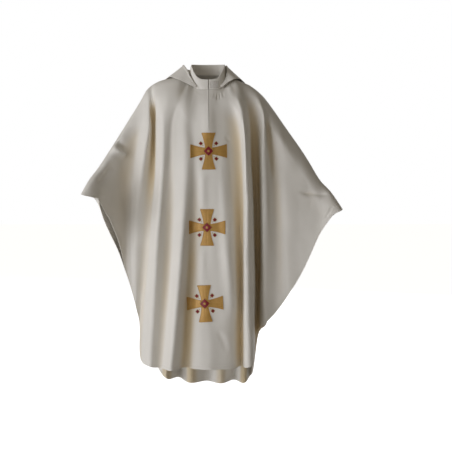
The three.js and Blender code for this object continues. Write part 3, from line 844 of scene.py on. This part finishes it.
# Collar: a stiffened band that stands round the neck, open at the throat
collarBand = {
    "shiftX": -3,
    "halfWidth": 70,
    "midY": -4,
    "frontY": -79,
    "backY": 72,
    "throatZ": 0,
    "napeZ": 72,
    "rise": 30,
    "sideDip": 5,                                # how much lower the rim is over the shoulders
    "power": 3,
    "gap": 3,
    "bow": 4,
    "thickness": 3.4,
    "rounded": 1.3,
    "stitchInset": 5.0,
    "stations": 260,
    "rows": 18,
}


def collarGrid(setup):
    opening = neckAngle(setup["gap"] / 2)
    turn = np.linspace(float(opening), 2 * math.pi - float(opening), setup["stations"] + 1)[None, :]
    up = np.linspace(0, 1, setup["rows"] + 1)[:, None]
    side = np.where(np.cos(turn) > 0, -1, 1)
    share = neckX(np.arcsin(np.sin(turn))) / neckSeam["halfWidth"]
    lowY = ovalY(neckSeam, turn, side)
    low = np.stack([share * neckSeam["halfWidth"], lowY, seamHeight(lowY) + seamGap], -1)
    rimY = ovalY(setup, turn, side, setup["power"])
    climb = 1 - np.exp(-((rimY - setup["frontY"]) / setup["rise"]) ** 1.5)
    rimX = setup["shiftX"] * smooth(np.abs(share)) + share * setup["halfWidth"]
    dip = setup["sideDip"] * np.exp(-((rimY - setup["midY"]) / 34) ** 2)
    high = np.stack([rimX, rimY, lerp(setup["throatZ"], setup["napeZ"], climb) - dip], -1)
    outward = np.stack([np.sin(turn), -np.cos(turn), np.zeros_like(turn)], -1)
    bow = lerp(-1, setup["bow"], smooth(-share))
    line = lerp(low, high, up[..., None])
    return line + outward * (bow * np.sin(math.pi * up))[..., None]


collarPoints = collarGrid(collarBand)[::-1]
collarWalked = travelled(collarPoints, axis=1)
collarUv = np.stack([collarWalked, -travelled(collarPoints)], -1)
# The collar gets no painted valley shade
collarFacts = {"valley": np.zeros(collarPoints.shape[:2])}
collarPiece = clothFromGrid("collar_band", collarPoints, collarFacts, collarUv)
thicken(collarPiece, collarBand["thickness"], rounded=collarBand["rounded"])
shadeSoft(collarPiece)
finish(collarPiece, twill, ["collar"])
print("collar made")


# Cowl hood: rises outside the collar, rolls over and lies on the shoulders.
# A station has its name and the [x, y, z] of seam, roll and edge.
cowlStations = [
    ("left corner", [-50, -74, -34], [-51, -77, -27], [-54, -82, -34]),
    ("left front", [-71, -52, -20], [-76, -55, 12], [-90, -70, -15]),
    ("left shoulder front", [-80, -20, 6], [-92, -22, 46], [-128, -55, 3]),
    ("left peak", [-82, 10, 21], [-104, 12, 64], [-168, 4, 14]),
    ("left shoulder back", [-75, 39, 29], [-95, 57, 52], [-186, 92, -16]),
    ("left blade", [-51, 63, 31], [-57, 83, 45], [-130, 146, -148]),
    ("nape", [0, 70, 31], [0, 92, 43], [-4, 152, -236]),
    ("right blade", [51, 63, 31], [56, 83, 45], [122, 146, -148]),
    ("right shoulder back", [74, 38, 29], [68, 46, 62], [162, 94, -36]),
    ("right shoulder", [79, 10, 21], [73, 9, 60], [136, 6, 3]),
    ("right shoulder front", [78, -20, 5], [76, -26, 36], [110, -54, 4]),
    ("right front", [68, -50, -20], [71, -54, 4], [80, -68, -12]),
    ("right corner", [50, -74, -34], [51, -77, -27], [54, -82, -34]),
]
cowl = {
    "rollAt": 0.3,
    "belly": 16,
    "bellyReach": 100,
    "thickness": 2.0,
    "rounded": 0.6,
    "hemDepth": 10,
    "hemGroove": 0.4,
    "grooveWidth": 1.8,
    "stations": 240,
    "rows": 64,
}


def cowlGrid(stations, setup):
    at = np.linspace(0, len(stations) - 1, setup["stations"] + 1)
    out = np.linspace(0, 1, setup["rows"] + 1)[:, None]
    roll = setup["rollAt"]
    axes = []
    for axis in range(3):
        seam, top, edge = [column(stations, field, axis, at) for field in (1, 2, 3)]
        levels = np.array([seam, top, lerp(top, edge, 0.16), edge])
        axes.append(cubicAt([0, roll, roll * 1.6, 1], levels, np.repeat(out, len(at), axis=1)))
    points = np.stack(axes, -1)
    swell = np.sin(math.pi * clamp01((out - roll) / (1 - roll)))
    points[..., 1] += setup["belly"] * smooth(points[..., 1] / setup["bellyReach"]) * swell
    return points


cowlPoints = cowlGrid(cowlStations, cowl)
cowlUv = np.stack([travelled(cowlPoints, axis=1), -travelled(cowlPoints)], -1)
cowlFromEdge = fromLastRow(cowlPoints)
cowlNormals = gridNormals(cowlPoints)
cowlPoints = cowlPoints - cowlNormals * hemGroove(cowl, cowlFromEdge)[..., None]
# The hood gets no painted valley shade
cowlFacts = {"valley": np.zeros(cowlPoints.shape[:2])}
cowlPiece = clothFromGrid("cowl_hood", cowlPoints, cowlFacts, cowlUv)
thicken(cowlPiece, cowl["thickness"], rounded=cowl["rounded"])
shadeSoft(cowlPiece)
finish(cowlPiece, twill, ["hood"])
print("cowl hood made")


# Topstitching along the hems of the panels, the collar and the hood
def lineAt(points, distance, goal):
    # The line over a grid where a distance, rising or falling down each column, meets goal
    line = np.empty((points.shape[1], 3))
    for c in range(points.shape[1]):
        order = np.argsort(distance[:, c])
        for axis in range(3):
            line[c, axis] = np.interp(goal, distance[order, c], points[order, c, axis])
    return line


def runAt(points, normals, distance, goal):
    return lineAt(points, distance, goal), lineAt(normals, distance, goal)


def panelHemRun(points, side):
    run = runAt(points, gridNormals(points) * -side, fromLastRow(points), panelCloth["hemDepth"])
    return [line[3:-3] for line in run]


stitchedRuns = {
    "front_hem_stitching": panelHemRun(frontPoints, -1),
    "back_hem_stitching": panelHemRun(backPoints, 1),
    "collar_stitching": runAt(collarPoints, gridNormals(collarPoints), travelled(collarPoints),
                              collarBand["stitchInset"]),
    "hood_stitching": runAt(cowlPoints, cowlNormals, cowlFromEdge, cowl["hemDepth"]),
}
for runName, run in stitchedRuns.items():
    finish(stitchPiece(runName, *run), sewingThread)
print("stitching made")


# Things laid on the cloth are found on it by looking straight back from the front
def clothTree(piece):
    work = bmesh.new()
    work.from_mesh(piece.data)
    tree = BVHTree.FromBMesh(work)
    work.free()
    return tree


def layOn(tree, flat, lift):
    # flat is a list of [x, z] in the frame, lift how far out each point lies
    placed = np.empty((len(flat), 3))
    normals = np.empty((len(flat), 3))
    for i, (x, z) in enumerate(flat):
        spot, normal, _, _ = tree.ray_cast(Vector((x * mm, -1.0, z * mm)), Vector((0, 1, 0)))
        placed[i] = np.array(spot) / mm + np.array(normal) * lift[i]
        normals[i] = normal
    return placed, normals


# Closure patch on the end of the collar
patch = {
    "x": 22.5,
    "z": -21,
    "width": 38,
    "height": 30,
    "lift": 1.3,
    "pile": 0.22,                                # how uneven the face of the loops is
    "thickness": 1.0,
    "rounded": 0.3,
    "stitchInset": 2,                            # grid steps from the edge to the stitching
    "steps": 36,
}
collarTree = clothTree(collarPiece)
patchSteps = np.linspace(-0.5, 0.5, patch["steps"] + 1)
patchFlat = np.array([(patch["x"] + u * patch["width"], patch["z"] - v * patch["height"])
                      for v in patchSteps for u in patchSteps])
patchDraw = np.random.default_rng(5)
patchLift = patch["lift"] + patchDraw.uniform(-patch["pile"], patch["pile"], len(patchFlat))
patchPoints, patchNormals = layOn(collarTree, patchFlat, patchLift)
patchShape = (patch["steps"] + 1, patch["steps"] + 1)
patchPoints = patchPoints.reshape(patchShape + (3,))
patchNormals = patchNormals.reshape(patchShape + (3,))
patchPiece = clothFromGrid("closure_tape", patchPoints, uv=patchFlat.reshape(patchShape + (2,)))
thicken(patchPiece, patch["thickness"], rounded=patch["rounded"])
shadeSoft(patchPiece, 40)
finish(patchPiece, loopTape, ["closure_patch"])
near = patch["stitchInset"]
far = patch["steps"] - near
ring = ([(near, c) for c in range(near, far)]
        + [(r, far) for r in range(near, far)]
        + [(far, c) for c in range(far, near, -1)]
        + [(r, near) for r in range(far, near - 1, -1)])
ringNormals = np.array([patchNormals[spot] for spot in ring])
ringLine = np.array([patchPoints[spot] for spot in ring]) + ringNormals * 0.2
patchStitches = stitchPiece("closure_stitching", ringLine, ringNormals, pitch=2.6, length=2.0, thick=0.45)
finish(patchStitches, sewingThread)
print("closure patch made")


# Embroidered crosses. Sizes of one, worked flat around its middle.
emblem = {
    "reach": 73,
    "halfRoot": 13,
    "halfEnd": 27,
    "flare": 1.4,
    "overlap": 1.5,                              # how far the centre square reaches under the arms
    "padding": 1.5,                              # height of the satin stitch over its filling
    "edgeLift": 0.1,                             # the border of a patch lies almost on the cloth
    "ridge": 0.28,
    "slant": 0.45,                               # the stitches slant back from the middle of an arm
    "threadStep": 2.4,
    "lozengeStep": 2.2,
    "cord": 1.15,
    "centre": 20,
    "dot": 6.5,
    "smallCentre": 31,
    "smallHalf": 7.5,
}
crossPlaces = [("upper", 1, -293, 0.5), ("middle", -5, -600, 0.0), ("lower", -14, -907, 3.0)]
frontTree = clothTree(frontCloth)


def armWidth(distance):
    t = clamp01((distance - emblem["halfRoot"]) / (emblem["reach"] - emblem["halfRoot"]))
    return emblem["halfRoot"] + (emblem["halfEnd"] - emblem["halfRoot"]) * t ** emblem["flare"]


def turnedFlat(flat, degrees):
    c, s = math.cos(math.radians(degrees)), math.sin(math.radians(degrees))
    return np.stack([flat[..., 0] * c - flat[..., 1] * s, flat[..., 0] * s + flat[..., 1] * c], -1)


def reliefPatch(flat, lift, uv):
    # A grid of flat points with its lift and uv, as lists and the faces between them
    rows, columns = flat.shape[:2]
    faces = []
    for r in range(rows - 1):
        for c in range(columns - 1):
            corner = r * columns + c
            faces.append((corner, corner + columns, corner + columns + 1, corner + 1))
    return flat.reshape(-1, 2), lift.ravel(), uv.reshape(-1, 2), faces


def loweredBorder(lift):
    lift = lift.copy()
    lift[[0, -1]] = emblem["edgeLift"]
    lift[:, [0, -1]] = emblem["edgeLift"]
    return lift


def armPatch(quarter):
    rows, columns = 58, 25
    t = np.linspace(0, 1, rows)[:, None]
    u = np.linspace(-1, 1, columns)[None, :]
    overlap = emblem["overlap"]
    distance = emblem["halfRoot"] + overlap + t * (emblem["reach"] - emblem["halfRoot"] - overlap) + 0 * u
    x = u * armWidth(distance)
    chevron = distance - emblem["slant"] * np.abs(x)
    lift = emblem["padding"] * (1 - 0.35 * np.abs(u) ** 3) - 0.55 * np.exp(-(x / 1.3) ** 2)
    lift = lift + emblem["ridge"] * np.sin(2 * math.pi * chevron / emblem["threadStep"])
    flat = turnedFlat(np.stack([x, distance], -1), 90 * quarter)
    return reliefPatch(flat, loweredBorder(lift), np.stack([x, chevron], -1))


def squarePatch(half, turn, padding, step, middle=(0, 0)):
    count = 23
    u = np.linspace(-1, 1, count)[None, :] + np.zeros((count, 1))
    v = np.linspace(1, -1, count)[:, None] + np.zeros((1, count))
    lift = padding * (1 - 0.3 * np.maximum(np.abs(u), np.abs(v)) ** 4)
    lift = lift + emblem["ridge"] * 0.8 * np.sin(2 * math.pi * v * half / step)
    spread = np.stack([u * half, v * half], -1)
    return reliefPatch(turnedFlat(spread, turn) + np.array(middle), loweredBorder(lift), spread)


def discPatch(radius, padding, middle=(0, 0)):
    rings, spokes = 7, 28
    r = np.linspace(0, 1, rings)[:, None]
    angle = np.linspace(0, 2 * math.pi, spokes + 1)[None, :]
    flat = np.stack([r * radius * np.cos(angle), -r * radius * np.sin(angle)], -1) + np.array(middle)
    lift = padding * np.sqrt(np.maximum(1 - r ** 2, 0.02)) + 0.12 * np.sin(angle * 14) * r
    uv = np.stack([angle * radius + 0 * r, r * radius + 0 * angle], -1)
    return reliefPatch(flat, lift + 0 * angle, uv)


def cordTube(flat, height, radius, closed=True):
    # The flat path of a couched cord. Its tube is swept once the path lies on the cloth.
    return {"flat": np.asarray(flat, float), "height": height, "radius": radius, "closed": closed}


def evenPath(flat, step=2.0, closed=True):
    flat = np.asarray(flat, float)
    if closed:
        flat = np.vstack([flat, flat[:1]])
    walked = travelled(flat)
    places = np.linspace(0, walked[-1], max(8, int(walked[-1] / step)) + 1)
    path = np.stack([np.interp(places, walked, flat[:, axis]) for axis in (0, 1)], -1)
    return path[:-1] if closed else path


def crossOutline():
    side = np.linspace(emblem["halfRoot"], emblem["reach"], 14)
    arm = np.array([(armWidth(d), d) for d in side] + [(-armWidth(d), d) for d in side[::-1]])
    return np.vstack([turnedFlat(arm, 90 * quarter) for quarter in range(4)])


def sweptCord(tree, path, height, radius, closed, middle):
    # Twisted cord: a seven-sided tube whose section turns along it and swells and narrows a little
    centre, normals = layOn(tree, path + np.array(middle), np.full(len(path), height))
    ahead = np.roll(centre, -1, axis=0) - np.roll(centre, 1, axis=0)
    if not closed:
        ahead = np.gradient(centre, axis=0)
    way = unit(ahead)
    across = unit(np.cross(way, normals))
    up = np.cross(across, way)
    sides = 7
    count = len(path)
    walked = travelled(centre)
    vertices = []
    uv = []
    for side in range(sides):
        angle = 2 * math.pi * side / sides
        girth = radius * (1 + 0.14 * np.cos(2 * (angle - 2 * math.pi * walked / 5.0)))
        vertices.append(centre + across * (math.cos(angle) * girth)[:, None]
                        + up * (math.sin(angle) * girth)[:, None])
        uv.append(np.stack([np.full(count, side * radius), walked + side * radius * 0.9], -1))
    vertices = np.stack(vertices, 1).reshape(-1, 3)
    uv = np.stack(uv, 1).reshape(-1, 2)
    faces = []
    for k in range(count if closed else count - 1):
        for side in range(sides):
            a, b = k * sides + side, k * sides + (side + 1) % sides
            c, d = ((k + 1) % count) * sides + (side + 1) % sides, ((k + 1) % count) * sides + side
            faces.append((a, b, c, d))
    if not closed:
        faces.append(tuple(range(sides)))
        faces.append(tuple((count - 1) * sides + side for side in range(sides))[::-1])
    return vertices, faces, uv


def lozengeOutline(half, middle=(0, 0)):
    return np.array([(0, half), (half, 0), (0, -half), (-half, 0)], float) + np.array(middle)


quarterSpots = [(1, 1), (-1, 1), (-1, -1), (1, -1)]


def emblemParts():
    gold = [armPatch(quarter) for quarter in range(4)]
    root = emblem["halfRoot"] + emblem["overlap"]
    gold.append(squarePatch(root, 0, emblem["padding"] * 0.8, emblem["threadStep"]))
    goldCords = [cordTube(evenPath(crossOutline()), 1.0, emblem["cord"])]
    centre = emblem["centre"] * 0.72
    crimson = [squarePatch(centre, 45, emblem["padding"] + 1.0, emblem["lozengeStep"])]
    goldCords.append(cordTube(evenPath(lozengeOutline(emblem["centre"] + 0.8)), 2.3, 0.9))
    gold.append(discPatch(emblem["dot"], emblem["padding"] + 2.3))
    for sx, sy in quarterSpots:
        middle = np.array((sx, sy)) * emblem["smallCentre"]
        crimson.append(squarePatch(emblem["smallHalf"] * 0.68, 45, 1.2, emblem["lozengeStep"], middle))
        goldCords.append(cordTube(evenPath(lozengeOutline(emblem["smallHalf"] + 0.8, middle)), 0.8, 0.8))
        start, end = np.array((sx, sy)) * 20.5, np.array((sx, sy)) * (emblem["smallCentre"] - 4.8)
        goldCords.append(cordTube(evenPath([start, end], closed=False), 0.6, 0.9, closed=False))
    return gold, goldCords, crimson


def emblemPiece(name, patches, cords, place, lean):
    parts = []
    for flat, lift, patchUv, polygons in patches:
        spots, _ = layOn(frontTree, turnedFlat(flat, lean) + np.array(place), lift)
        parts.append((spots, polygons, patchUv))
    for cord in cords:
        parts.append(sweptCord(frontTree, turnedFlat(cord["flat"], lean), cord["height"],
                               cord["radius"], cord["closed"], place))
    faces = []
    start = 0
    for spots, polygons, _ in parts:
        faces += [tuple(i + start for i in polygon) for polygon in polygons]
        start += len(spots)
    vertices = np.concatenate([part[0] for part in parts])
    piece = meshPiece(name, vertices, faces, np.concatenate([part[2] for part in parts]))
    shadeSoft(piece, 70)
    return piece


goldPatches, goldCords, crimsonPatches = emblemParts()
for placeName, x, z, lean in crossPlaces:
    goldPiece = emblemPiece(f"cross_{placeName}_gold", goldPatches, goldCords, (x, z), lean)
    finish(goldPiece, goldThread, [f"cross_{placeName}"])
    crimsonPiece = emblemPiece(f"cross_{placeName}_crimson", crimsonPatches, [], (x, z), lean)
    finish(crimsonPiece, crimsonThread, [f"lozenge_{placeName}"])
print("embroidery made")


# Studio: a pale floor, a soft low light on the wearer's right, one behind and a warm sky
studio = {
    "floorZ": -1.554,
    "floor": "#e8e7e5",
    "floorWhite": 0.86,
    "keyPower": 238,
    "keyPlace": (-4.0, -3.1, -0.9),
    "keySize": 4.4,
    "keyColour": "#f4f7ff",
    "backPower": 130,
    "backPlace": (1.8, 4.6, 0.3),
    "backSize": 3.0,
    "skyMean": 0.262,
    "skySlope": 0.15,                            # brighter towards the left and the floor, darker overhead
    "skyTowards": (-0.6, -0.25, -0.76),
    "skyColour": "#fdf3e2",
}
bpy.ops.object.select_all(action="DESELECT")
bpy.ops.mesh.primitive_plane_add(size=30, location=(0, 0, 0))
floor = bpy.context.object
floor.name = "studio_floor"
for vertex in floor.data.vertices:
    vertex.co.z = studio["floorZ"]
floorPaint, floorSurface = newMaterial("studio_floor_paint")
floorSurface.inputs["Base Color"].default_value = colour(studio["floor"])
floorSurface.inputs["Roughness"].default_value = 0.9
floorSurface.inputs["Emission Color"].default_value = (1, 1, 1, 1)
seen = addNode(floorPaint, "ShaderNodeLightPath")
lit = addNode(floorPaint, "ShaderNodeMapRange", {"To Max": studio["floorWhite"]},
              {"Value": seen.outputs["Is Camera Ray"]})
floorPaint.node_tree.links.new(lit.outputs[0], floorSurface.inputs["Emission Strength"])
floor.data.materials.append(floorPaint)


def softLight(name, place, size, power, tint, target=(0, 0, -0.6)):
    bpy.ops.object.light_add(type="AREA", location=place)
    lamp = bpy.context.object
    lamp.name = name
    lamp.data.size = size
    lamp.data.energy = power
    lamp.data.color = colour(tint)[:3]
    lamp.rotation_euler = (Vector(target) - Vector(place)).to_track_quat("-Z", "Y").to_euler()


softLight("key_light", studio["keyPlace"], studio["keySize"], studio["keyPower"], studio["keyColour"])
softLight("back_light", studio["backPlace"], studio["backSize"], studio["backPower"], studio["keyColour"])
world = bpy.data.worlds.new("studio_world")
bpy.context.scene.world = world
world.use_nodes = True
sky = world.node_tree.nodes["Background"]
rays = addNode(world, "ShaderNodeLightPath")
tint = mixColours(world, rays.outputs["Is Camera Ray"], studio["skyColour"], "#ffffff")
world.node_tree.links.new(tint, sky.inputs["Color"])
looking = addNode(world, "ShaderNodeTexCoord")
towards = addNode(world, "ShaderNodeVectorMath", {1: studio["skyTowards"]},
                  {0: looking.outputs["Generated"]}, operation="DOT_PRODUCT")
soft = addNode(world, "ShaderNodeMath", {1: studio["skySlope"], 2: studio["skyMean"]},
               {0: towards.outputs["Value"]}, operation="MULTIPLY_ADD")
strength = addNode(world, "ShaderNodeMath", None, {0: rays.outputs["Is Camera Ray"], 1: soft.outputs[0]},
                   operation="MAXIMUM")
world.node_tree.links.new(strength.outputs[0], sky.inputs["Strength"])
bpy.context.scene.view_settings.view_transform = "Standard"
